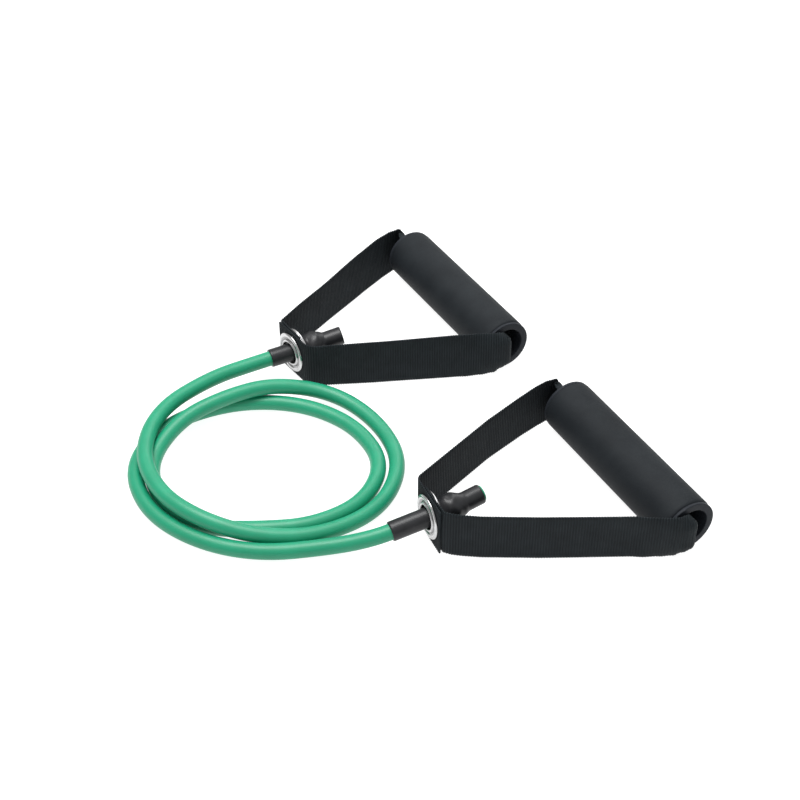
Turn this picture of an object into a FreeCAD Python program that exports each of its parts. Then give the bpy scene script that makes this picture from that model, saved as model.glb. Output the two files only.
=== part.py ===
import FreeCAD, Part
import math
import os

from FreeCAD import Placement, Rotation, Vector

# Resistance band: one latex tube laid in loose turns, a webbing handle at each end.
# Millimetres, +Z up, the floor at z = 0.

# ---- latex tube -------------------------------------------------------------
TUBE_OD = 10.0
TUBE_BORE = 5.5
BALL_DIA = 12.0
BALL_FIT = 0.05            # latex stretched over the ball, radial gap
LATEX_OVER_BALL = 7.9      # outside radius of the latex where the ball swells it

# ---- rubber sleeve over each tube end -----------------------------------------
SLEEVE_BORE_R = 5.05
SLEEVE_R = 6.1
SLEEVE_OVER_BALL = 9.0
BALL_BEHIND_PLATE = 13.0   # from the middle of the doubled webbing to the ball
TAIL_BEHIND_PLATE = 34.0   # from there to the sleeve's inner end
SWELL = 8.5                # half length of the swelling

# ---- grip -------------------------------------------------------------------
GRIP_LENGTH = 130.0
AXIS_Z = 17.5
FOAM_R = 17.5
FOAM_BORE_R = 14.3
FOAM_LENGTH = 125.9
CORE_R = 14.25
CORE_BORE_R = 13.25
CORE_LENGTH = 125.9
CAP_RIM_R = 17.2
CAP_RIM = 2.0
CAP_SPIGOT_R = 13.2
CAP_BORE_R = 12.5
CAP_SPIGOT = 10.0

# ---- webbing strap ----------------------------------------------------------
WEB_WIDTH = 33.0
WEB_THICK = 1.3
LAYER_GAP = 0.1
BORE_RUN_V = 6.0           # strap run inside the grip, measured from the grip axis
BORE_RUN_HALF = 10.0       # half height of that run
TURN_R = 4.5               # centre line radius of the turn round the grip's end
PLATE_Z = 16.5             # height of the eyelet

# ---- eyelet -----------------------------------------------------------------
BARREL_R = 7.5
BARREL_OUTER_R = 8.2
HOLE_R = 8.4
FLANGE_R = 14.0
WASHER_R = 15.0
WASHER_BORE_R = 8.25
PLATE_FACE = WEB_THICK + LAYER_GAP / 2.0
EYELET_GAP = 0.05

# ---- where the two handles lie -------------------------------------------------
# Along the grip is local x, the eyelet lies at local -y.
HANDLE_A = {"centre": (-7.6, 89.2), "yaw": -60.4}
HANDLE_B = {"centre": (91.3, -86.3), "yaw": -61.6}

# Strap centre lines in plan as (x, reach): x along the grip, reach toward the eyelet.
# Each entry is (x, reach, corner radius).  They start at the hidden layer's end.
STRAP_A = [(6.5, 125.6, 0), (-17.9, 128.21, 2.0), (-76.8, 6, TURN_R), (72.0, 6, TURN_R),
           (57.6, 33.4, 20), (18.6, 125.76, 10), (-16.9, 129.51, 0)]
STRAP_B = [(-24.0, 126.62, 0), (-0.2, 128.78, 2.0), (7.0, 119.7, 10), (55.0, 32.6, 20),
           (73.9, 6, TURN_R), (-77.4, 6, TURN_R), (-59.8, 62.6, 60), (-34.5, 127.06, 8),
           (0.2, 130.22, 0)]
EYELET_A = {"at": (-1.5, 127.2), "tilt": 6.04}
EYELET_B = {"at": (-16.5, 128.0), "tilt": -5.2}

# ---- route of the tube --------------------------------------------------------
COIL_CENTRE = (-129.5, -73.6)
COIL_START = 120.0
COIL_STEP = 30.0
LIE = 5.05                 # a strand resting on the floor
OVER = 15.2                # a strand crossing over another
# (radius of the centre line, height) every COIL_STEP degrees, counter-clockwise
TURNS = [(82.2, OVER), (80.6, OVER), (76.2, OVER), (71.0, OVER), (68.5, 15.7), (67.0, 8.9),
         (71.4, 5.3), (79.4, LIE), (81.2, LIE), (77.4, LIE), (76.0, 7.6), (65.6, 15.0),
         (60.2, 15.4), (66.3, 12.0), (73.0, LIE), (69.7, LIE), (64.4, LIE), (56.6, LIE),
         (61.2, LIE), (68.0, LIE), (69.7, LIE), (63.3, LIE), (59.6, LIE), (60.0, LIE),
         (65.3, LIE), (76.0, LIE), (83.3, LIE), (80.0, LIE), (75.8, LIE), (76.4, LIE),
         (82.0, 5.4)]
MOUTH_A = (-134.0, 21.0, 15.5)
LEAD_A = [(-144.0, 16.55, 14.83)]
LEAD_B = [(-62.22, -145.4, 10.58)]
MOUTH_B = (-52.6, -141.7, 12.3)


# ---- helpers ----------------------------------------------------------------
def grip_frame(handle):
    """Placement of a handle: x along its grip, the eyelet toward -y."""
    x, y = handle["centre"]
    return Placement(Vector(x, y, 0), Rotation(Vector(0, 0, 1), handle["yaw"]))


def placed(shape, placement):
    out = shape.copy()
    out.Placement = placement.multiply(out.Placement)
    return out


def ring(r_in, r_out, x0, x1):
    """Ring about the grip axis between x0 and x1."""
    base = Vector(x0, 0, AXIS_Z)
    outer = Part.makeCylinder(r_out, x1 - x0, base, Vector(1, 0, 0))
    inner = Part.makeCylinder(r_in, x1 - x0, base, Vector(1, 0, 0))
    return outer.cut(inner)


def soften(shape, radius, size):
    """Round the circular edges of the given radius."""
    edges = []
    for edge in shape.Edges:
        curve = edge.Curve
        if isinstance(curve, Part.Circle) and abs(curve.Radius - radius) < 0.01:
            edges.append(edge)
    return shape.makeFillet(size, edges)


def turned(profile):
    """Solid of revolution about local z from (radius, height) points."""
    points = [Vector(r, 0, h) for r, h in profile]
    points.append(points[0])
    face = Part.Face(Part.makePolygon(points))
    return face.revolve(Vector(0, 0, 0), Vector(0, 0, 1), 360)


def unit(v):
    return v.multiply(1.0 / v.Length)


# ---- rounded polylines --------------------------------------------------------
def corner(before, at, after, radius):
    """Start, middle and end of the arc that rounds one corner."""
    d0 = unit(at.sub(before))
    d1 = unit(after.sub(at))
    half = d0.getAngle(d1) / 2.0
    back = radius * math.tan(half)
    start = at.sub(Vector(d0).multiply(back))
    end = at.add(Vector(d1).multiply(back))
    inward = unit(d1.sub(d0))
    middle = at.add(Vector(inward).multiply(radius / math.cos(half) - radius))
    return start, middle, end


def plan_pieces(points):
    """Centre line pieces in plan, each a list of (point, heading)."""
    vs = [Vector(x, -reach, 0) for x, reach, _ in points]
    pieces = []
    here = vs[0]
    for i in range(1, len(vs) - 1):
        start, middle, end = corner(vs[i - 1], vs[i], vs[i + 1], points[i][2])
        d0 = unit(vs[i].sub(vs[i - 1]))
        d1 = unit(vs[i + 1].sub(vs[i]))
        pieces.append([(here, d0), (start, d0)])
        pieces.append([(start, d0), (middle, unit(d0.add(d1))), (end, d1)])
        here = end
    last = unit(vs[-1].sub(vs[-2]))
    pieces.append([(here, last), (vs[-1], last)])
    return pieces


def beside(point, heading, distance):
    left = Vector(-heading.y, heading.x, 0)
    return point.add(left.multiply(distance))


def side_edges(pieces, distance):
    edges = []
    for piece in pieces:
        ps = [beside(p, h, distance) for p, h in piece]
        if len(ps) == 2:
            edges.append(Part.LineSegment(ps[0], ps[1]).toShape())
        else:
            edges.append(Part.Arc(ps[0], ps[1], ps[2]).toShape())
    return edges


def webbing(points, eyelet):
    """Flat webbing on edge, narrowed where it runs through the grip."""
    pieces = plan_pieces(points)
    half = WEB_THICK / 2.0
    left = side_edges(pieces, half)
    right = side_edges(pieces, -half)
    (p0, h0), (p1, h1) = pieces[0][0], pieces[-1][-1]
    start = Part.LineSegment(beside(p0, h0, half), beside(p0, h0, -half)).toShape()
    end = Part.LineSegment(beside(p1, h1, half), beside(p1, h1, -half)).toShape()
    outline = Part.Wire(Part.__sortEdges__(left + [end] + right + [start]))
    band = Part.Face(outline).extrude(Vector(0, 0, WEB_WIDTH))
    low = AXIS_Z - BORE_RUN_HALF
    high = AXIS_Z + BORE_RUN_HALF
    shape = [(-140, 0), (-17.0, 0), (-8.0, low), (30, low),
             (30, high), (-8.0, high), (-17.0, WEB_WIDTH), (-140, WEB_WIDTH)]
    outline = [Vector(-90, y, z) for y, z in shape]
    outline.append(outline[0])
    envelope = Part.Face(Part.makePolygon(outline)).extrude(Vector(180, 0, 0))
    band = band.common(envelope)
    hole = Part.makeCylinder(HOLE_R, 12, Vector(0, 0, -6))
    hole = placed(hole, eyelet_frame(eyelet))
    return band.cut(hole).Solids[0]


# ---- eyelet, set in the doubled webbing -----------------------------------------
def eyelet_axis(eyelet):
    tilt = math.radians(eyelet["tilt"])
    return Vector(math.sin(tilt), -math.cos(tilt), 0)


def eyelet_frame(eyelet):
    x, reach = eyelet["at"]
    turn = Rotation(Vector(0, 0, 1), eyelet_axis(eyelet))
    return Placement(Vector(x, -reach, PLATE_Z), turn)


def flanged_eyelet():
    """Barrel with a rolled outer rim and a raised funnel lip."""
    face = PLATE_FACE + EYELET_GAP
    back = -face - 1.3
    return turned([(BARREL_R, back), (BARREL_OUTER_R, back), (BARREL_OUTER_R, face),
                   (FLANGE_R, face), (FLANGE_R, face + 0.8), (13.4, face + 1.5),
                   (12.0, face + 1.6), (10.8, face + 0.8), (9.9, face + 0.9),
                   (9.1, face + 1.6), (8.3, face + 1.6), (BARREL_R, face + 0.8)])


def eyelet_washer():
    """Domed back washer round the barrel."""
    face = -PLATE_FACE - EYELET_GAP
    return turned([(WASHER_BORE_R, face), (WASHER_R, face), (WASHER_R, face - 0.6),
                   (14.0, face - 1.3), (9.6, face - 1.3), (WASHER_BORE_R, face - 0.8)])


# ---- grip -------------------------------------------------------------------
def foam_grip():
    half = FOAM_LENGTH / 2.0
    return soften(ring(FOAM_BORE_R, FOAM_R, -half, half), FOAM_R, 2.2)


def grip_core():
    half = CORE_LENGTH / 2.0
    return ring(CORE_BORE_R, CORE_R, -half, half)


def grip_cap(side):
    """Rim and spigot of one end cap; side is +1 near, -1 far."""
    end = GRIP_LENGTH / 2.0
    rim = ring(CAP_BORE_R, CAP_RIM_R, end - CAP_RIM, end)
    rim = soften(rim, CAP_RIM_R, 0.7)
    spigot = ring(CAP_BORE_R, CAP_SPIGOT_R, end - CAP_RIM - CAP_SPIGOT, end - CAP_RIM)
    cap = rim.fuse(spigot).removeSplitter()
    if side < 0:
        cap = cap.mirror(Vector(0, 0, 0), Vector(1, 0, 0))
    return cap


# ---- tube -------------------------------------------------------------------
def tube_route():
    """Control points of the whole tube between the two sleeves."""
    pts = [Vector(*MOUTH_A)]
    pts += [Vector(*p) for p in LEAD_A]
    spread = 1.0 / math.cos(math.radians(COIL_STEP / 2.0))
    for k, (radius, height) in enumerate(TURNS):
        a = math.radians(COIL_START + k * COIL_STEP)
        x = COIL_CENTRE[0] + spread * radius * math.cos(a)
        y = COIL_CENTRE[1] + spread * radius * math.sin(a)
        pts.append(Vector(x, y, height))
    pts += [Vector(*p) for p in LEAD_B]
    pts.append(Vector(*MOUTH_B))
    return pts


def bend_radius(pts, i):
    d0 = pts[i].sub(pts[i - 1])
    d1 = pts[i + 1].sub(pts[i])
    half = d0.getAngle(d1) / 2.0
    return 0.45 * min(d0.Length, d1.Length) / math.tan(half)


def tube_piece(pts, first, last, at_start, at_end):
    """Tube from run `first` to run `last`; cut at mid-run unless at a sleeve."""
    a = pts[first]
    if not at_start:
        a = a.add(pts[first + 1]).multiply(0.5)
    b = pts[last + 1]
    if not at_end:
        b = pts[last].add(pts[last + 1]).multiply(0.5)
    edges = []
    here = a
    for i in range(first + 1, last + 1):
        start, middle, end = corner(pts[i - 1], pts[i], pts[i + 1], bend_radius(pts, i))
        edges.append(Part.LineSegment(here, start).toShape())
        edges.append(Part.Arc(start, middle, end).toShape())
        here = end
    edges.append(Part.LineSegment(here, b).toShape())
    path = Part.Wire(edges)
    ahead = unit(pts[first + 1].sub(pts[first]))
    section = Part.Wire(Part.Circle(a, ahead, TUBE_OD / 2.0).toShape())
    return path.makePipeShell([section], True, False), path.Length


def end_axis(handle, eyelet, mouth, lead):
    """Middle of the eyelet's hole, and the tube's direction at the sleeve's mouth."""
    hole = grip_frame(handle).multVec(eyelet_frame(eyelet).Base)
    return hole, unit(Vector(*mouth).sub(Vector(*lead)))


def swelling_rod(length, radius, over, middle, spread):
    """Round rod from the mouth at z = 0, swelling smoothly round z = middle."""
    before = Vector(radius, 0, middle - spread)
    after = Vector(radius, 0, middle + spread)
    far = Vector(radius, 0, length)
    edges = [
        Part.LineSegment(Vector(0, 0, 0), Vector(radius, 0, 0)).toShape(),
        Part.LineSegment(Vector(radius, 0, 0), before).toShape(),
        Part.Arc(before, Vector(over, 0, middle), after).toShape(),
        Part.LineSegment(after, far).toShape(),
        Part.LineSegment(far, Vector(0, 0, length)).toShape(),
        Part.LineSegment(Vector(0, 0, length), Vector(0, 0, 0)).toShape(),
    ]
    return Part.Face(Part.Wire(edges)).revolve(Vector(0, 0, 0), Vector(0, 0, 1), 360)


def rubber_sleeve(to_ball, length):
    outer = swelling_rod(length, SLEEVE_R, SLEEVE_OVER_BALL, to_ball, SWELL)
    inner = swelling_rod(length, SLEEVE_BORE_R, LATEX_OVER_BALL + 0.05, to_ball, SWELL)
    return outer.cut(inner).Solids[0]


def latex_end(to_ball, length):
    """Tube end inside the sleeve, hollow, with a pocket for the ball."""
    pocket = BALL_DIA / 2.0 + BALL_FIT
    outer = swelling_rod(length, TUBE_OD / 2.0, LATEX_OVER_BALL, to_ball, SWELL)
    inner = swelling_rod(length, TUBE_BORE / 2.0, pocket, to_ball, pocket + 0.8)
    ball_room = Part.makeSphere(pocket, Vector(0, 0, to_ball))
    return outer.cut(inner).cut(ball_room).Solids[0]


# ---- assembly ---------------------------------------------------------------
def handle_parts(tag, handle, strap, eyelet):
    frame = grip_frame(handle)
    seat = frame.multiply(eyelet_frame(eyelet))
    return {
        "foam_grip_" + tag: placed(foam_grip(), frame),
        "grip_core_" + tag: placed(grip_core(), frame),
        "grip_cap_near_" + tag: placed(grip_cap(1), frame),
        "grip_cap_far_" + tag: placed(grip_cap(-1), frame),
        "webbing_strap_" + tag: placed(webbing(strap, eyelet), frame),
        "grommet_eyelet_" + tag: placed(flanged_eyelet(), seat),
        "grommet_washer_" + tag: placed(eyelet_washer(), seat),
    }


def end_parts(tag, handle, eyelet, mouth, lead, reach):
    """Covered tube end: sleeve, latex and ball; reach is the latex past the sleeve."""
    hole, back = end_axis(handle, eyelet, mouth, lead)
    to_hole = hole.sub(Vector(*mouth)).Length
    to_ball = to_hole + BALL_BEHIND_PLATE
    length = to_hole + TAIL_BEHIND_PLATE
    seat = Placement(Vector(*mouth), Rotation(Vector(0, 0, 1), back))
    ball = Part.makeSphere(BALL_DIA / 2.0, Vector(0, 0, to_ball))
    return {
        "rubber_sleeve_" + tag: placed(rubber_sleeve(to_ball, length), seat),
        "latex_tube_end_" + tag: placed(latex_end(to_ball, length + reach), seat),
        "stopper_ball_" + tag: placed(ball, seat),
    }


def tube_parts():
    pts = tube_route()
    last = len(pts) - 2
    first_cut = 2
    second_cut = last - 2
    lead_a, n_a = tube_piece(pts, 0, first_cut, True, False)
    coil, n_c = tube_piece(pts, first_cut, second_cut, False, False)
    lead_b, n_b = tube_piece(pts, second_cut, last, False, True)
    radii = [bend_radius(pts, i) for i in range(1, len(pts) - 1)]
    print("bend radii", [round(r, 1) for r in radii])
    area = math.pi * TUBE_OD ** 2 / 4.0
    for name, solid, length in (("lead a", lead_a, n_a), ("coil", coil, n_c),
                                ("lead b", lead_b, n_b)):
        print(name, "length", round(length, 1), "volume/section*length",
              round(solid.Volume / (area * length), 4), "valid", solid.isValid())
    print("tube between sleeves", round(n_a + n_c + n_b, 1))
    return {"latex_tube_lead_a": lead_a, "latex_tube_coil": coil, "latex_tube_lead_b": lead_b}


def build():
    parts = {}
    parts.update(tube_parts())
    parts.update(end_parts("a", HANDLE_A, EYELET_A, MOUTH_A, LEAD_A[0], 0.0))
    parts.update(end_parts("b", HANDLE_B, EYELET_B, MOUTH_B, LEAD_B[-1], 1.0))
    parts.update(handle_parts("a", HANDLE_A, STRAP_A, EYELET_A))
    parts.update(handle_parts("b", HANDLE_B, STRAP_B, EYELET_B))
    return parts


os.makedirs("parts", exist_ok=True)
low = [1e9] * 3
high = [-1e9] * 3
for node, shape in build().items():
    if len(shape.Solids) != 1 or not shape.isValid():
        print("CHECK", node, "solids", len(shape.Solids), "valid", shape.isValid())
    box = shape.optimalBoundingBox(False, False)
    if not node.startswith("latex_tube"):
        low = [min(low[0], box.XMin), min(low[1], box.YMin), min(low[2], box.ZMin)]
        high = [max(high[0], box.XMax), max(high[1], box.YMax), max(high[2], box.ZMax)]
    shape.exportStep("parts/" + node + ".step")
print("box without the tube", [round(v, 2) for v in low], [round(v, 2) for v in high])
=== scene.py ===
import math

import bmesh
import bpy
from mathutils import Matrix, Vector


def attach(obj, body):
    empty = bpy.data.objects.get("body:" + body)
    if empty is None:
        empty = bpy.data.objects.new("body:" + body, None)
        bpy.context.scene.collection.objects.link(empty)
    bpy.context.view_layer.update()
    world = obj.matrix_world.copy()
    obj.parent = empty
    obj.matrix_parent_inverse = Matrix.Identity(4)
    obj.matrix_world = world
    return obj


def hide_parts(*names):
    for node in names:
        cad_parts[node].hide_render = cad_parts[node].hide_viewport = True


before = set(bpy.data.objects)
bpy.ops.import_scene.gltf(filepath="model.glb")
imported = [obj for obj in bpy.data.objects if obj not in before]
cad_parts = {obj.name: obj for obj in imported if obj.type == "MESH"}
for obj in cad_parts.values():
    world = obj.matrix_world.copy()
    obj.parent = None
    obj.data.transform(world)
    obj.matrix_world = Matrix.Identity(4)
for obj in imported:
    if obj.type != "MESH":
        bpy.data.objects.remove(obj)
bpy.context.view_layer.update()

MM = 0.001
UP = Vector((0, 0, 1))

# ---------------------------------------------------------------- sizes, in millimetres
# As in the CAD:
TUBE_OD = 10.0
LATEX_R = 5.0
LATEX_BORE_R = 2.75
BALL_BEHIND_PLATE = 13.0    # stopper ball, from the middle of the doubled webbing
PLATE_Z = 16.5              # middle of the webbing and of the eyelets
WEB_WIDTH = 33.0
WEB_THICK = 1.3
HOLE_R = 8.4                # hole in the webbing for the eyelet
AXIS_Z = 17.5               # axis of both grips
FOAM_R = 17.5
FOAM_HALF = 62.95
# Within 0.05 mm of the CAD's:
SLEEVE_R = 6.12
SLEEVE_BORE_R = 5.1
FOAM_BORE_R = 14.32
# Weave of the webbing:
RIB_PITCH = 1.65
YARN_PITCH = 0.55

# Each grip's middle in plan and its yaw in degrees; each eyelet's x and reach (see Handle.at) and its
# tilt in degrees; and the mouth of each sleeve.
GRIPS = {"a": ((-7.6, 89.2), -60.4), "b": ((91.3, -86.3), -61.6)}
EYELETS = {"a": ((-1.5, 127.2), 6.04), "b": ((-16.5, 128.0), -5.2)}
MOUTHS = {"a": (-134.0, 21.0, 15.5), "b": (-52.6, -141.7, 12.3)}

# ---------------------------------------------------------------- route of the tube, as in the CAD
# Places are in metres; the turns' radii and heights are in millimetres.
COIL_CENTRE = (-0.1295, -0.0736)
COIL_START = 120.0          # degrees
COIL_STEP = 30.0
LIE = 5.05                  # height of a strand resting on the floor
OVER = 15.2                 # height of a strand crossing over another
# (radius of the centre line, height) every COIL_STEP degrees, counter-clockwise
TURNS = [(82.2, OVER), (80.6, OVER), (76.2, OVER), (71.0, OVER), (68.5, 15.7), (67.0, 8.9),
         (71.4, 5.3), (79.4, LIE), (81.2, LIE), (77.4, LIE), (76.0, 7.6), (65.6, 15.0),
         (60.2, 15.4), (66.3, 12.0), (73.0, LIE), (69.7, LIE), (64.4, LIE), (56.6, LIE),
         (61.2, LIE), (68.0, LIE), (69.7, LIE), (63.3, LIE), (59.6, LIE), (60.0, LIE),
         (65.3, LIE), (76.0, LIE), (83.3, LIE), (80.0, LIE), (75.8, LIE), (76.4, LIE),
         (82.0, 5.4)]
LEAD_A = [(-0.134, 0.021, 0.0155), (-0.144, 0.01655, 0.01483)]
LEAD_B = [(-0.06222, -0.1454, 0.01058), (-0.0526, -0.1417, 0.0123)]


# ================================================================ materials
def new_material(name):
    mat = bpy.data.materials.new(name)
    mat.use_nodes = True
    tree = mat.node_tree
    return mat, tree, tree.nodes["Principled BSDF"]


def node(tree, kind, **values):
    """New node; values are its properties or its input defaults."""
    n = tree.nodes.new(kind)
    for key, value in values.items():
        if hasattr(n, key):
            setattr(n, key, value)
        else:
            n.inputs[key.replace("_", " ")].default_value = value
    return n


def noise(tree, scale, detail=3.0, rough=0.55):
    at = node(tree, "ShaderNodeTexCoord")
    n = node(tree, "ShaderNodeTexNoise")
    n.inputs["Scale"].default_value = scale
    n.inputs["Detail"].default_value = detail
    n.inputs["Roughness"].default_value = rough
    tree.links.new(at.outputs["Object"], n.inputs["Vector"])
    return n.outputs["Fac"]


def ramp(tree, source, stops):
    """Colour from a value through (position, colour) stops."""
    r = node(tree, "ShaderNodeValToRGB")
    elements = r.color_ramp.elements
    while len(elements) < len(stops):
        elements.new(0.5)
    for e, (pos, colour) in zip(elements, stops):
        e.position = pos
        e.color = (*colour, 1.0)
    tree.links.new(source, r.inputs["Fac"])
    return r.outputs["Color"]


def math_node(tree, op, a, b=None):
    n = node(tree, "ShaderNodeMath")
    n.operation = op
    for i, value in enumerate((a, b)):
        if value is None:
            continue
        if isinstance(value, (int, float)):
            n.inputs[i].default_value = value
        else:
            tree.links.new(value, n.inputs[i])
    return n.outputs[0]


def bump(tree, bsdf, height, strength, distance, under=None):
    b = node(tree, "ShaderNodeBump")
    b.inputs["Strength"].default_value = strength
    b.inputs["Distance"].default_value = distance
    tree.links.new(height, b.inputs["Height"])
    if under is not None:
        tree.links.new(under, b.inputs["Normal"])
    tree.links.new(b.outputs["Normal"], bsdf.inputs["Normal"])
    return b.outputs["Normal"]


def latex_material():
    """Smooth green latex: satin skin over a slightly cloudy body."""
    mat, tree, bsdf = new_material("latex_green")
    cloud = noise(tree, 60.0, 4.0)
    colour = ramp(tree, cloud, [(0.3, (0.0040, 0.230, 0.117)), (0.7, (0.0060, 0.262, 0.137))])
    tree.links.new(colour, bsdf.inputs["Base Color"])
    bsdf.inputs["Roughness"].default_value = 0.44
    bsdf.inputs["Specular IOR Level"].default_value = 0.45
    bsdf.inputs["Subsurface Weight"].default_value = 0.12
    bsdf.inputs["Subsurface Radius"].default_value = (0.4, 1.0, 0.7)
    bsdf.inputs["Subsurface Scale"].default_value = 0.0015
    bsdf.inputs["Coat Weight"].default_value = 0.05
    bsdf.inputs["Coat Roughness"].default_value = 0.45
    fine = noise(tree, 1400.0, 2.0)
    bump(tree, bsdf, fine, 0.06, 0.0001)
    return mat


def foam_material():
    """Charcoal closed-cell foam: matt, finely pitted."""
    mat, tree, bsdf = new_material("foam_charcoal")
    blotch = noise(tree, 45.0, 4.0)
    colour = ramp(tree, blotch, [(0.3, (0.0070, 0.0090, 0.0112)), (0.72, (0.0125, 0.0155, 0.0182))])
    tree.links.new(colour, bsdf.inputs["Base Color"])
    bsdf.inputs["Roughness"].default_value = 0.66
    bsdf.inputs["Specular IOR Level"].default_value = 0.15
    pores = noise(tree, 1700.0, 3.0, 0.6)
    first = bump(tree, bsdf, pores, 0.35, 0.00022)
    dents = noise(tree, 140.0, 2.0)
    bump(tree, bsdf, dents, 0.25, 0.0006, first)
    return mat


def webbing_material():
    """Black ribbed polypropylene webbing; u runs along it and v across, in millimetres."""
    mat, tree, bsdf = new_material("webbing_black")
    uv = node(tree, "ShaderNodeUVMap")
    uv.uv_map = "weave"
    split = node(tree, "ShaderNodeSeparateXYZ")
    tree.links.new(uv.outputs["UV"], split.inputs["Vector"])
    u, v = split.outputs["X"], split.outputs["Y"]
    # warp yarns: fine lengthwise lines that step over each rib
    rib = math_node(tree, "SINE", math_node(tree, "MULTIPLY", u, 2 * math.pi / RIB_PITCH))
    step = math_node(tree, "MULTIPLY", rib, 0.25)
    across = math_node(tree, "ADD", v, step)
    warp = math_node(tree, "SINE", math_node(tree, "MULTIPLY", across, 2 * math.pi / YARN_PITCH))
    warp_part = math_node(tree, "MULTIPLY", warp, 0.35)
    rib_part = math_node(tree, "MULTIPLY", rib, 0.65)
    height = math_node(tree, "ADD", warp_part, rib_part)
    fuzz = noise(tree, 2600.0, 3.0, 0.65)
    height = math_node(tree, "ADD", height, math_node(tree, "MULTIPLY", fuzz, 1.2))
    bump(tree, bsdf, height, 0.5, 0.00012)
    wear = noise(tree, 110.0, 4.0)
    wear_part = math_node(tree, "MULTIPLY", wear, 0.5)
    # painted shade and highlight: the rib height also tints the colour, darker in the rib valleys and
    # lighter on the crests, on top of the random wear tone
    rib_shade_part = math_node(tree, "MULTIPLY", height, 0.26)
    wear_and_rib_shade = math_node(tree, "ADD", wear_part, rib_shade_part)
    colour = ramp(tree, wear_and_rib_shade, [(0.15, (0.0038, 0.0058, 0.0074)), (0.5, (0.0098, 0.0140, 0.0166)),
                               (0.9, (0.024, 0.031, 0.035))])
    tree.links.new(colour, bsdf.inputs["Base Color"])
    bsdf.inputs["Roughness"].default_value = 0.70
    bsdf.inputs["Sheen Weight"].default_value = 0.02
    bsdf.inputs["Sheen Roughness"].default_value = 0.4
    bsdf.inputs["Specular IOR Level"].default_value = 0.16
    return mat


def chrome_material():
    """Plated eyelet: bright, faintly smudged, with painted shade darkening its creases and where other
    parts come close.
    """
    mat, tree, bsdf = new_material("chrome_plated")
    smudge = noise(tree, 220.0, 3.0)
    rough = math_node(tree, "ADD", math_node(tree, "MULTIPLY", smudge, 0.14), 0.17)
    tree.links.new(rough, bsdf.inputs["Roughness"])
    colour = ramp(tree, smudge, [(0.3, (0.72, 0.72, 0.72)), (0.7, (0.82, 0.82, 0.825))])
    # painted shade: ambient occlusion darkens the base colour in the creases and next to nearby parts,
    # and the gamma below deepens it
    crease = node(tree, "ShaderNodeAmbientOcclusion", samples=8)
    crease.inputs["Distance"].default_value = 0.0024
    tree.links.new(colour, crease.inputs["Color"])
    crease_shade_gamma = node(tree, "ShaderNodeGamma")
    crease_shade_gamma.inputs["Gamma"].default_value = 2.3
    tree.links.new(crease.outputs["Color"], crease_shade_gamma.inputs["Color"])
    tree.links.new(crease_shade_gamma.outputs["Color"], bsdf.inputs["Base Color"])
    bsdf.inputs["Metallic"].default_value = 1.0
    bump(tree, bsdf, noise(tree, 900.0, 2.0), 0.05, 0.0001)
    return mat


def sleeve_material():
    """Black rubber sleeve, satin, a little dusty."""
    mat, tree, bsdf = new_material("sleeve_rubber_black")
    dust = noise(tree, 160.0, 5.0)
    colour = ramp(tree, dust, [(0.35, (0.010, 0.0105, 0.012)), (0.75, (0.017, 0.018, 0.020))])
    tree.links.new(colour, bsdf.inputs["Base Color"])
    bsdf.inputs["Roughness"].default_value = 0.37
    bsdf.inputs["Specular IOR Level"].default_value = 0.32
    bump(tree, bsdf, noise(tree, 700.0, 3.0), 0.12, 0.00015)
    return mat


def cap_material():
    """Moulded black plastic rim, semi-gloss."""
    mat, tree, bsdf = new_material("cap_plastic_black")
    fleck = noise(tree, 500.0, 3.0)
    colour = ramp(tree, fleck, [(0.3, (0.016, 0.0185, 0.023)), (0.7, (0.021, 0.024, 0.029))])
    tree.links.new(colour, bsdf.inputs["Base Color"])
    bsdf.inputs["Roughness"].default_value = 0.45
    bsdf.inputs["Specular IOR Level"].default_value = 0.08
    bump(tree, bsdf, fleck, 0.08, 0.0001)
    return mat


def core_material():
    """Extruded plastic tube inside the grip."""
    mat, tree, bsdf = new_material("core_plastic_black")
    colour = ramp(tree, noise(tree, 300.0), [(0.3, (0.050, 0.056, 0.064)), (0.7, (0.070, 0.077, 0.088))])
    tree.links.new(colour, bsdf.inputs["Base Color"])
    bsdf.inputs["Roughness"].default_value = 0.6
    bump(tree, bsdf, noise(tree, 900.0), 0.1, 0.0001)
    return mat


def ball_material():
    """Smooth white moulding."""
    mat, tree, bsdf = new_material("ball_plastic_white")
    colour = ramp(tree, noise(tree, 200.0), [(0.3, (0.74, 0.73, 0.69)), (0.7, (0.82, 0.81, 0.78))])
    tree.links.new(colour, bsdf.inputs["Base Color"])
    bsdf.inputs["Roughness"].default_value = 0.35
    bump(tree, bsdf, noise(tree, 700.0), 0.05, 0.0001)
    return mat


LATEX = latex_material()
FOAM = foam_material()
WEBBING = webbing_material()
CHROME = chrome_material()
SLEEVE = sleeve_material()
CAP = cap_material()
CORE = core_material()
BALL = ball_material()


# ================================================================ geometry helpers
def make_object(name, verts, faces, mat, uvs=None):
    """Mesh object from points in millimetres; uvs are one (u, v) for each vertex of each face."""
    mesh = bpy.data.meshes.new(name)
    mesh.from_pydata([Vector(v) * MM for v in verts], [], faces)
    if uvs is not None:
        layer = mesh.uv_layers.new(name="weave")
        for i, value in enumerate(uvs):
            layer.data[i].uv = value
    tidy = bmesh.new()
    tidy.from_mesh(mesh)
    bmesh.ops.recalc_face_normals(tidy, faces=tidy.faces)
    tidy.to_mesh(mesh)
    tidy.free()
    for poly in mesh.polygons:
        poly.use_smooth = True
    mesh.validate()
    obj = bpy.data.objects.new(name, mesh)
    bpy.context.scene.collection.objects.link(obj)
    mesh.materials.append(mat)
    return obj


def basis(direction):
    """Two directions across the given one."""
    d = Vector(direction).normalized()
    side = d.cross(UP)
    if side.length < 1e-3:
        side = Vector((1, 0, 0))
    side.normalize()
    return side, side.cross(d).normalized()


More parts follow.
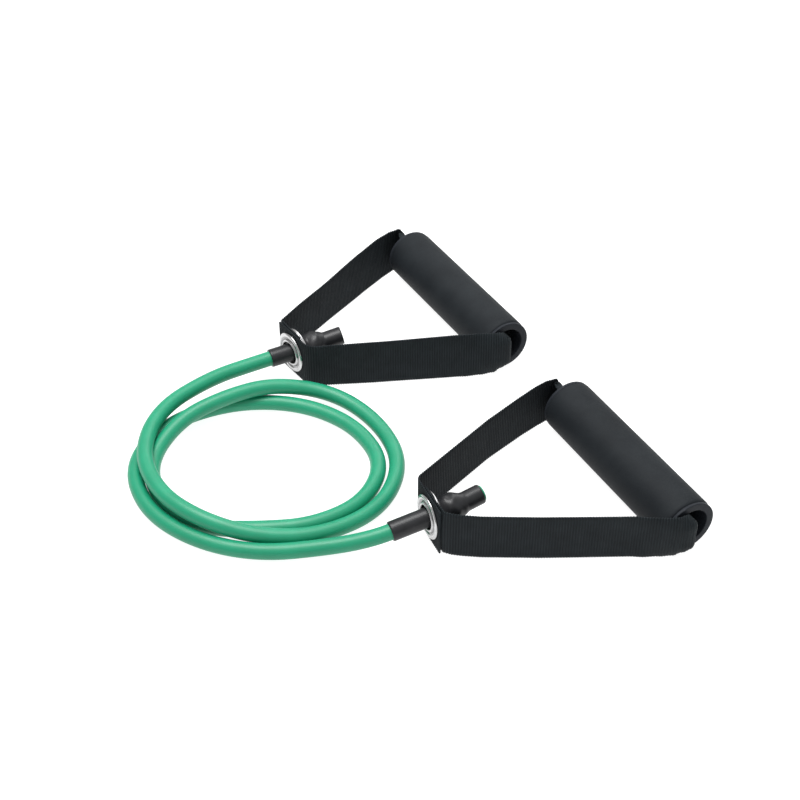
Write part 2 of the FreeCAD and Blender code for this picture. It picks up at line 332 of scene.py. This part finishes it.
def rounded_loop(points, size=0.25, steps=3):
    """Closed profile with its corners eased by short arcs."""
    out = []
    n = len(points)
    for i in range(n):
        a, b, c = (Vector((*points[(i + k) % n], 0)) for k in (-1, 0, 1))
        cut = min(size, (b - a).length * 0.4, (c - b).length * 0.4)
        p = b + (a - b).normalized() * cut
        q = b + (c - b).normalized() * cut
        for k in range(steps + 1):
            t = k / steps
            w = p * (1 - t) ** 2 + b * 2 * t * (1 - t) + q * t * t
            out.append((w.x, w.y))
    return out


def lathe(name, profile, origin, axis, mat, segments=96):
    """Closed (radius, height) profile turned about an axis through origin."""
    side, top = basis(axis)
    ahead = Vector(axis).normalized()
    origin = Vector(origin)
    n = len(profile)
    verts, faces = [], []
    for s in range(segments):
        a = 2 * math.pi * s / segments
        out = side * math.cos(a) + top * math.sin(a)
        verts += [origin + out * r + ahead * h for r, h in profile]
    for s in range(segments):
        t = (s + 1) % segments
        for i in range(n):
            j = (i + 1) % n
            faces.append((s * n + i, s * n + j, t * n + j, t * n + i))
    return make_object(name, verts, faces, mat)


def hollow_hose(name, stations, mat, segments=72):
    """Open-ended hose; stations are (centre, direction, outer radius, inner radius).

    An outer radius may be a function of the angle round the hose.
    """
    loop = [(c, d, ro) for c, d, ro, _ in stations] + [(c, d, ri) for c, d, _, ri in reversed(stations)]
    verts, faces = [], []
    n = len(loop)
    for c, d, r in loop:
        side, top = basis(d)
        for s in range(segments):
            a = 2 * math.pi * s / segments
            radius = r(a) if callable(r) else r
            verts.append(Vector(c) + (side * math.cos(a) + top * math.sin(a)) * radius)
    for i in range(n):
        j = (i + 1) % n
        for s in range(segments):
            t = (s + 1) % segments
            faces.append((i * segments + s, i * segments + t, j * segments + t, j * segments + s))
    return make_object(name, verts, faces, mat)


def smooth_between(a, b, t):
    """0 at or before a, 1 at or past b, eased between them."""
    t = max(0.0, min(1.0, (t - a) / (b - a)))
    return t * t * (3 - 2 * t)


# ================================================================ where the handles lie
class Handle:
    """Frame of one handle: its grip's direction, the way to its eyelet, and its tube end."""

    def __init__(self, tag):
        self.tag = tag
        (cx, cy), yaw = GRIPS[tag]
        a = math.radians(yaw)
        self.centre = Vector((cx, cy, 0))
        self.along = Vector((math.cos(a), math.sin(a), 0))
        self.reach = Vector((math.sin(a), -math.cos(a), 0))
        (ex, er), tilt = EYELETS[tag]
        t = math.radians(tilt)
        self.eyelet = self.at(ex, er, PLATE_Z)
        self.normal = self.along * math.sin(t) + self.reach * math.cos(t)
        self.mouth = Vector(MOUTHS[tag])
        lead = LEAD_A[1] if tag == "a" else LEAD_B[0]
        self.back = (self.mouth - Vector(lead) / MM).normalized()

    def at(self, x, reach, z):
        """Point at x along the grip, reach toward the eyelet, z above the floor."""
        return self.centre + self.along * x + self.reach * reach + UP * z


HANDLES = {tag: Handle(tag) for tag in "ab"}


# ================================================================ tube
def tube_points():
    """Route of the tube, from the mouth of sleeve a to the mouth of sleeve b."""
    pts = [Vector(p) for p in LEAD_A]
    # the line touches each run in its middle, so the points themselves lie farther out
    spread = 1.0 / math.cos(math.radians(COIL_STEP / 2))
    for k, (radius, height) in enumerate(TURNS):
        a = math.radians(COIL_START + k * COIL_STEP)
        out = spread * radius * MM
        x = COIL_CENTRE[0] + out * math.cos(a)
        y = COIL_CENTRE[1] + out * math.sin(a)
        pts.append(Vector((x, y, height * MM)))
    return pts + [Vector(p) for p in LEAD_B]


def make_tube():
    curve = bpy.data.curves.new("latex_tube", "CURVE")
    curve.dimensions = "3D"
    curve.bevel_depth = TUBE_OD * MM / 2
    curve.bevel_resolution = 12
    curve.resolution_u = 24
    curve.use_fill_caps = True
    spline = curve.splines.new("NURBS")
    pts = tube_points()
    spline.points.add(len(pts) - 1)
    for p, at in zip(spline.points, pts):
        p.co = (*at, 1.0)
    spline.order_u = 3
    spline.use_endpoint_u = True
    curve.materials.append(LATEX)
    obj = bpy.data.objects.new("latex_tube", curve)
    bpy.context.scene.collection.objects.link(obj)
    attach(obj, "band")
    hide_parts("latex_tube_coil", "latex_tube_lead_a", "latex_tube_lead_b")


# ================================================================ camera, floor and light
CAMERA_PLACE = (-0.047, -0.7759, 0.6295)
CAMERA_TILT = 50.8          # degrees up from straight down
FLOOR_HALF = 6.0            # metres
FLOOR_DROP = -0.0002        # just under z = 0, where the band rests


def make_camera():
    data = bpy.data.cameras.new("camera")
    data.lens = 67.5
    data.sensor_width = 36.0
    cam = bpy.data.objects.new("camera", data)
    cam.location = CAMERA_PLACE
    cam.rotation_euler = (math.radians(CAMERA_TILT), 0, 0)
    bpy.context.scene.collection.objects.link(cam)
    bpy.context.scene.camera = cam


def area_light(name, place, target, size, power):
    data = bpy.data.lights.new(name, "AREA")
    data.energy = power
    data.size = size
    light = bpy.data.objects.new(name, data)
    light.location = place
    light.rotation_euler = (Vector(target) - Vector(place)).to_track_quat("-Z", "Y").to_euler()
    bpy.context.scene.collection.objects.link(light)


def make_studio():
    """Pale floor under a soft overhead sky, with two area lights."""
    world = bpy.data.worlds.new("studio")
    bpy.context.scene.world = world
    world.use_nodes = True
    tree = world.node_tree
    sky = tree.nodes["Background"]
    at = node(tree, "ShaderNodeTexCoord")
    split = node(tree, "ShaderNodeSeparateXYZ")
    tree.links.new(at.outputs["Generated"], split.inputs["Vector"])
    glow = ramp(tree, split.outputs["Z"], [(0.0, (0.42, 0.42, 0.42)), (0.35, (0.55, 0.55, 0.55)),
                                           (0.9, (1.0, 1.0, 1.0))])
    tree.links.new(glow, sky.inputs["Color"])
    sky.inputs["Strength"].default_value = 0.95
    mesh = bpy.data.meshes.new("studio_floor")
    w = FLOOR_HALF
    mesh.from_pydata([(-w, -w, 0), (w, -w, 0), (w, w, 0), (-w, w, 0)], [], [(0, 1, 2, 3)])
    floor = bpy.data.objects.new("studio_floor", mesh)
    bpy.context.scene.collection.objects.link(floor)
    mat, tree, bsdf = new_material("studio_white")
    bsdf.inputs["Base Color"].default_value = (0.28, 0.28, 0.28, 1)
    bsdf.inputs["Roughness"].default_value = 0.9
    bsdf.inputs["Emission Color"].default_value = (1, 1, 1, 1)
    bsdf.inputs["Emission Strength"].default_value = 0.92
    mesh.materials.append(mat)
    floor.location.z = FLOOR_DROP
    area_light("key", place=(-0.25, 0.05, 0.95), target=(-0.03, 0, 0), size=0.55, power=11.0)
    area_light("back", place=(0.3, 0.9, 0.7), target=(0, 0, 0), size=0.7, power=4.0)
    bpy.context.scene.view_settings.view_transform = "Standard"


# ================================================================ eyelets and washers
# Half sections are (radius, distance along the eyelet's normal from the middle of the webbing).
# The eyelet has a barrel, a rolled lip, a groove and a crowned flange.
EYELET = [(7.5, -2.3), (7.5, 1.6), (7.65, 2.6), (8.1, 3.15), (8.7, 3.25), (9.3, 2.85),
          (9.8, 2.0), (10.3, 1.75), (10.9, 2.1), (11.6, 2.75), (12.5, 2.95), (13.4, 2.65),
          (13.9, 2.1), (14.0, 1.6), (13.8, 1.42), (8.2, 1.42), (8.2, -2.6), (7.8, -2.7)]
WASHER_DEEPER = {"a": 1.0, "b": 0.0}    # how much more dished than the plain section
PRESSING_ROUND = 0.3
PRESSING_SEGMENTS = 120


def pressing(name, section, h):
    """Chromed ring of this section round the eyelet's normal."""
    rounded = rounded_loop(section, PRESSING_ROUND, 2)
    return lathe(name, rounded, h.eyelet, h.normal, CHROME, PRESSING_SEGMENTS)


def make_eyelet(h):
    """Eyelet on one face of the doubled webbing, and the dished washer on the other."""
    obj = pressing("eyelet_" + h.tag, EYELET, h)
    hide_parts("grommet_eyelet_" + h.tag)
    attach(obj, "handle_" + h.tag)
    deep = WASHER_DEEPER[h.tag]
    washer = [(8.3, -1.42), (14.8, -1.42), (15.5, -2.0), (15.4, -2.8 - deep), (14.2, -3.4 - deep),
              (11.2, -3.2 - deep), (8.9, -2.9), (8.3, -2.2)]
    obj = pressing("washer_" + h.tag, washer, h)
    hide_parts("grommet_washer_" + h.tag)
    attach(obj, "handle_" + h.tag)


# ================================================================ sleeves and tube ends
# Each tail is where a covered end stops.
TAILS = {"a": (-86.3, 39.2, 21.8), "b": (0.8, -118.6, 22.0)}
SWELL = {"a": 3.3, "b": 2.9}    # how far the ball swells the sleeve
SWELL_SPAN = {"a": (2.6, 10.4), "b": (1.6, 9.4)}    # full until, gone by: from the ball's middle
BORE_SWELL = 3.4                # how far the ball opens the latex
FOLD_PHASE = {"a": 1.7, "b": 0.4}
CREASE_BEHIND = 7.6             # from the ball's middle to the crease round the sleeve's neck
CREASE_SPAN = 1.7
CREASE_HIGH = 0.5
BEND_SPAN = (3.0, 9.5)          # the tail turns away over this stretch behind the ball
LINE_STEPS = 60


def end_line(h):
    """Centre line of a covered tube end as (point, direction, distance).

    It is straight to the ball, then eased to the tail.
    """
    back = h.back
    to_ball = (h.eyelet - h.mouth).length + BALL_BEHIND_PLATE
    ball = h.mouth + back * to_ball
    tail = Vector(TAILS[h.tag])
    away = (tail - ball).normalized()
    out = []
    for k in range(LINE_STEPS + 1):
        d = to_ball * k / LINE_STEPS
        out.append((h.mouth + back * d, back, d))
    length = (tail - ball).length
    here = ball
    for k in range(1, LINE_STEPS + 1):
        d = length * k / LINE_STEPS
        t = smooth_between(*BEND_SPAN, d)
        direction = (back * (1 - t) + away * t).normalized()
        here = here + direction * (length / LINE_STEPS)
        out.append((here.copy(), direction, to_ball + d))
    return out, to_ball


def make_end(h):
    """Sleeve stretched over the ball, with soft folds, and the latex end inside it."""
    line, to_ball = end_line(h)
    last = line[-1][2]
    phase = FOLD_PHASE[h.tag]
    stations = []
    inner_end = []
    for c, d, s in line:
        t = 1 - smooth_between(*SWELL_SPAN[h.tag], abs(s - to_ball))
        swell = SWELL[h.tag] * t

        def lumpy(a, swell=swell, s=s, t=t):
            fold = 0.22 * t * math.sin(3 * a + phase + 0.6 * s) + 0.12 * t * math.sin(5 * a - 0.9 * s)
            past_crease = (s - to_ball - CREASE_BEHIND) / CREASE_SPAN
            crease = CREASE_HIGH * math.exp(-past_crease ** 2) * (0.5 + 0.5 * math.cos(a - phase))
            tail_edge = 0.28 * (1 - smooth_between(0.0, 0.7, last - s))
            mouth_edge = 0.22 * (1 - smooth_between(0.0, 0.5, s))
            return SLEEVE_R + swell + (fold + crease) - (tail_edge + mouth_edge)

        stations.append((c, d, lumpy, SLEEVE_BORE_R + swell))
        inner_end.append((c, d, LATEX_R + swell, LATEX_BORE_R + BORE_SWELL * t))
    obj = hollow_hose("sleeve_" + h.tag, stations, SLEEVE)
    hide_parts("rubber_sleeve_" + h.tag)
    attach(obj, "band")
    if h.tag == "b":            # the latex shows past this sleeve
        c, d, _ = line[-1]
        inner_end.append((c + d * 0.9, d, 4.95, 2.8))
        inner_end.append((c + d * 1.1, d, 4.7, 3.0))
    else:
        inner_end = inner_end[:-2]
    obj = hollow_hose("latex_end_" + h.tag, inner_end, LATEX)
    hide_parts("latex_tube_end_" + h.tag)
    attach(obj, "band")


# ================================================================ grips
# Half section of an end cap, as (radius, distance from the grip's middle).
CAP_SECTION = [(12.5, 65.0), (12.5, 53.0), (13.2, 53.0), (13.2, 63.0), (17.2, 63.0), (17.2, 65.0)]
NEAR_EDGE = 2.6             # rounding of the foam at its near end
FAR_EDGE = 0.9              # and at its far end


def eased(radius):
    """Rounded edge of the foam: (distance in from its end, drop in radius)."""
    out = []
    for k in range(6):
        a = math.pi / 2 * k / 5
        out.append((radius * (1 - math.sin(a)), radius * 0.8 * (1 - math.cos(a))))
    return out


def make_grip(h):
    """Foam roll with one soft end, and a rimmed cap at each end."""
    start = h.at(0, 0, AXIS_Z)
    near = [(FOAM_R - drop, FOAM_HALF - x) for x, drop in reversed(eased(NEAR_EDGE))]
    far = [(FOAM_R - drop, x - FOAM_HALF) for x, drop in eased(FAR_EDGE)]
    middle = [(FOAM_R, x) for x in range(58, -60, -4)]
    profile = [(FOAM_BORE_R, FOAM_HALF)] + near + middle + far + [(FOAM_BORE_R, -FOAM_HALF)]
    foam = lathe("foam_" + h.tag, profile, start, h.along, FOAM, 128)
    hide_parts("foam_grip_" + h.tag)
    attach(foam, "grip_" + h.tag)
    for side, name in ((1, "near"), (-1, "far")):
        shaped = [(r, side * x) for r, x in rounded_loop(CAP_SECTION, 0.45, 4)]
        cap = lathe("cap_%s_%s" % (name, h.tag), shaped, start, h.along, CAP, 128)
        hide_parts("grip_cap_%s_%s" % (name, h.tag))
        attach(cap, "grip_" + h.tag)


# ================================================================ webbing
# Stations round each strap: far side, far turn, through the grip, near turn, near side.
# Each is (x, reach, corner radius, flat half width, curl beyond it as 1/radius, height of the middle,
# lean in degrees), x and reach as in Handle.at. FLAT and GUTTER are the last four of these for webbing
# that stands flat, and for webbing curled inside the grip.
FLAT = (16.5, 0.0, PLATE_Z, 0.0)
GUTTER = (7.2, -1 / 4, AXIS_Z, 0.0)
IN_BORE = [(-65.3, 0.0, 0, *GUTTER), (65.3, 0.0, 0, *GUTTER)]
STRAPS = {
    "a": [(6.5, 125.6, 0, *FLAT), (-17.9, 128.21, 2.0, 4, -1 / 70, PLATE_Z, 0),
          (-38.4, 86.6, 40, 16.5, 0, PLATE_Z, 0),
          (-60.4, 43.9, 40, 12, -1 / 200, PLATE_Z, 4.5), (-70.0, 23.5, 20, 9, -1 / 100, 16.8, 6.0),
          (-74.2, 12.5, 12, 8, -1 / 40, 17.0, 5.0), (-76.6, 5.0, 6, 8, -1 / 15, 17.3, 3.0),
          (-77.2, -1.2, 3.5, 7.5, -1 / 9, AXIS_Z, 0), (-69.0, -0.2, 5, 7.5, -1 / 4.5, AXIS_Z, 0)]
         + IN_BORE + [
          (73.0, 0.0, 3.0, *GUTTER), (72.0, 6.5, 6, 6.4, -1 / 9, 17.3, 0),
          (69.5, 12.0, 10, 5, -1 / 24, 17.0, -2.0),
          (65.3, 20.0, 6, 4, -1 / 40, 16.8, -6.0), (58.2, 32.6, 20, 10, -1 / 200, PLATE_Z, -6.0),
          (37.6, 82.4, 40, 16.5, 0, PLATE_Z, -3.0), (18.6, 125.76, 10, *FLAT),
          (-16.2, 129.44, 0, *FLAT)],
    "b": [(-1.0, 130.12, 0, *FLAT), (-34.3, 127.07, 6, *FLAT), (-59.8, 62.6, 60, 16.5, 0, PLATE_Z, 0),
          (-69.2, 32.5, 40, 12, -1 / 200, PLATE_Z, 1.0), (-72.5, 20.0, 20, 9, -1 / 100, 16.8, 2.0),
          (-74.6, 12.0, 12, 8, -1 / 34, 17.0, 2.0), (-76.3, 5.0, 6, 8, -1 / 12, 17.3, 1.0),
          (-76.8, -1.2, 3.5, 7, -1 / 7, AXIS_Z, 0), (-69.0, -0.2, 5, 7.5, -1 / 4.5, AXIS_Z, 0)]
         + IN_BORE + [
          (73.0, 0.0, 3.0, *GUTTER), (72.0, 6.5, 6, 6.4, -1 / 9, 17.3, 0),
          (69.5, 12.0, 10, 5, -1 / 24, 17.0, 3.0),
          (65.2, 19.6, 8, 4, -1 / 40, 16.8, 3.0), (55.6, 31.4, 14, 10, -1 / 200, PLATE_Z, 1.0),
          (30.0, 80.6, 60, 16.5, 0, PLATE_Z, 0), (13.1, 110.6, 30, 16.5, 0, PLATE_Z, 0),
          (6.6, 120.1, 12, *FLAT),
          (-0.2, 128.78, 2.0, 4, -1 / 70, PLATE_Z, 0), (-24.0, 126.62, 0, *FLAT)],
}
SAMPLES_PER_RIB = 6
FACE_STEPS = 14
RIB_DEPTH = 0.28
TOOTH_DEPTH = 0.34          # how far the edge steps in between ribs
EDGE_FLAT = 0.45            # from the edge to the end of the flat face
EDGE_ROUND = 0.14           # from the edge to its shoulder
EDGE_THIN = 0.72            # share of the thickness left at the shoulder


def rounded_line(points):
    """Fine samples of the rounded line in plan, and how far along it each station lies."""
    fine, keys = [], []
    for i, (x, r, radius, *_) in enumerate(points):
        at = Vector((x, r, 0))
        if radius == 0:
            fine.append(at)
            keys.append(len(fine) - 1)
            continue
        before = Vector((*points[i - 1][:2], 0))
        after = Vector((*points[i + 1][:2], 0))
        d0, d1 = (at - before).normalized(), (after - at).normalized()
        half = d0.angle(d1) / 2
        back = radius * math.tan(half)
        middle = at + (d1 - d0).normalized() * radius / math.cos(half)
        start = at - d0 * back - middle
        side = 1 if d0.cross(d1).z > 0 else -1
        steps = max(6, int(half * 40))
        for k in range(steps + 1):
            fine.append(middle + Matrix.Rotation(side * 2 * half * k / steps, 3, "Z") @ start)
        keys.append(len(fine) - 1 - steps // 2)
    along = [0.0]
    for p, q in zip(fine, fine[1:]):
        along.append(along[-1] + (q - p).length)
    return fine, along, [along[k] for k in keys]


def strap_stations(points):
    """Even stations along a strap: (distance, middle, heading, flat, curl, height, lean)."""
    fine, along, keys = rounded_line(points)

    def place(s):
        s = max(0.0, min(along[-1], s))
        low, high = 0, len(along) - 1
        while high - low > 1:
            i = (low + high) // 2
            if along[i] <= s:
                low = i
            else:
                high = i
        t = (s - along[low]) / max(1e-9, along[high] - along[low])
        return fine[low].lerp(fine[high], t)

    count = int(round(along[-1] / RIB_PITCH)) * SAMPLES_PER_RIB
    out = []
    k = 0
    for n in range(count + 1):
        s = along[-1] * n / count
        while k < len(keys) - 2 and keys[k + 1] < s:
            k += 1
        t = smooth_between(keys[k], keys[k + 1], s)
        shape = [p * (1 - t) + q * t for p, q in zip(points[k][3:], points[k + 1][3:])]
        heading = (place(s + 0.5) - place(s - 0.5)).normalized()
        out.append((s, place(s), heading, *shape))
    return out


def strap_section(s):
    """Points round the section at distance s, as (across, out): ribbed faces, rounded toothed edges."""
    rib = 0.5 + 0.5 * math.cos(2 * math.pi * s / RIB_PITCH)
    half = WEB_THICK / 2 - RIB_DEPTH * (1 - rib) ** 2
    edge = WEB_WIDTH / 2 - TOOTH_DEPTH * (1 - rib)
    face = 2 * edge - 2 * EDGE_FLAT
    flat = [edge - EDGE_FLAT - face * k / FACE_STEPS for k in range(FACE_STEPS + 1)]
    inner, thin = edge - EDGE_ROUND, half * EDGE_THIN
    out = [(w, half) for w in flat]
    out += [(-inner, thin), (-edge, 0.0), (-inner, -thin)]
    out += [(w, -half) for w in reversed(flat)]
    out += [(inner, -thin), (edge, 0.0), (inner, thin)]
    return out


def make_strap(h):
    """Ribbed webbing loop, curled where it enters the grip, with the eyelet's hole through its front."""
    verts, uvs, faces = [], [], []
    for s, middle, heading, flat, curl, height, lean in strap_stations(STRAPS[h.tag]):
        outward = Vector((heading.y, -heading.x, 0))
        tip = math.radians(lean)
        for w, t in strap_section(s):
            side = 1 if w > 0 else -1
            angle = max(0.0, abs(w) - flat) * curl
            off, up = t * math.cos(angle), min(abs(w), flat) - t * math.sin(angle)
            if abs(angle) > 1e-6:
                off += (1 - math.cos(angle)) / curl
                up += math.sin(angle) / curl
            up *= side
            p = middle + outward * (off * math.cos(tip) + up * math.sin(tip))
            verts.append(h.at(p.x, p.y, height + up * math.cos(tip) - off * math.sin(tip)))
            uvs.append((s, w))
    n = len(strap_section(0.0))
    rows = len(verts) // n
    for i in range(rows - 1):
        for j in range(n):
            k = (j + 1) % n
            faces.append((i * n + j, i * n + k, (i + 1) * n + k, (i + 1) * n + j))
    faces += [tuple(range(n)), tuple(range((rows - 1) * n, rows * n))]
    loops = [uvs[v] for f in faces for v in f]
    strap = make_object("strap_" + h.tag, verts, faces, WEBBING, loops)
    punch_hole(strap, h)
    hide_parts("webbing_strap_" + h.tag)
    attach(strap, "handle_" + h.tag)


def punch_hole(strap, h):
    """Cut the eyelet's hole through both layers."""
    deep = 4.0
    section = [(0.0, -deep), (HOLE_R, -deep), (HOLE_R, deep), (0.0, deep)]
    cutter = lathe("cutter", section, h.eyelet, h.normal, WEBBING, 64)
    bm = bmesh.new()
    bm.from_mesh(cutter.data)
    bmesh.ops.remove_doubles(bm, verts=bm.verts, dist=1e-7)
    bmesh.ops.recalc_face_normals(bm, faces=bm.faces)
    bm.to_mesh(cutter.data)
    bm.free()
    cut = strap.modifiers.new("hole", "BOOLEAN")
    cut.operation = "DIFFERENCE"
    cut.solver = "EXACT"
    cut.object = cutter
    depsgraph = bpy.context.evaluated_depsgraph_get()
    mesh = bpy.data.meshes.new_from_object(strap.evaluated_get(depsgraph))
    strap.modifiers.clear()
    strap.data = mesh
    for poly in mesh.polygons:
        poly.use_smooth = True
    bpy.data.objects.remove(cutter, do_unlink=True)


make_camera()
make_studio()
make_tube()
for h in HANDLES.values():
    make_eyelet(h)
    make_end(h)
    make_grip(h)
    make_strap(h)

CAD_MATERIALS = {"latex": LATEX, "foam": FOAM, "webbing": WEBBING, "grommet": CHROME, "rubber": SLEEVE,
                 "grip_cap": CAP, "grip_core": CORE, "stopper": BALL}
for name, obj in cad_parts.items():
    for start, mat in CAD_MATERIALS.items():
        if name.startswith(start):
            obj.data.materials.clear()
            obj.data.materials.append(mat)
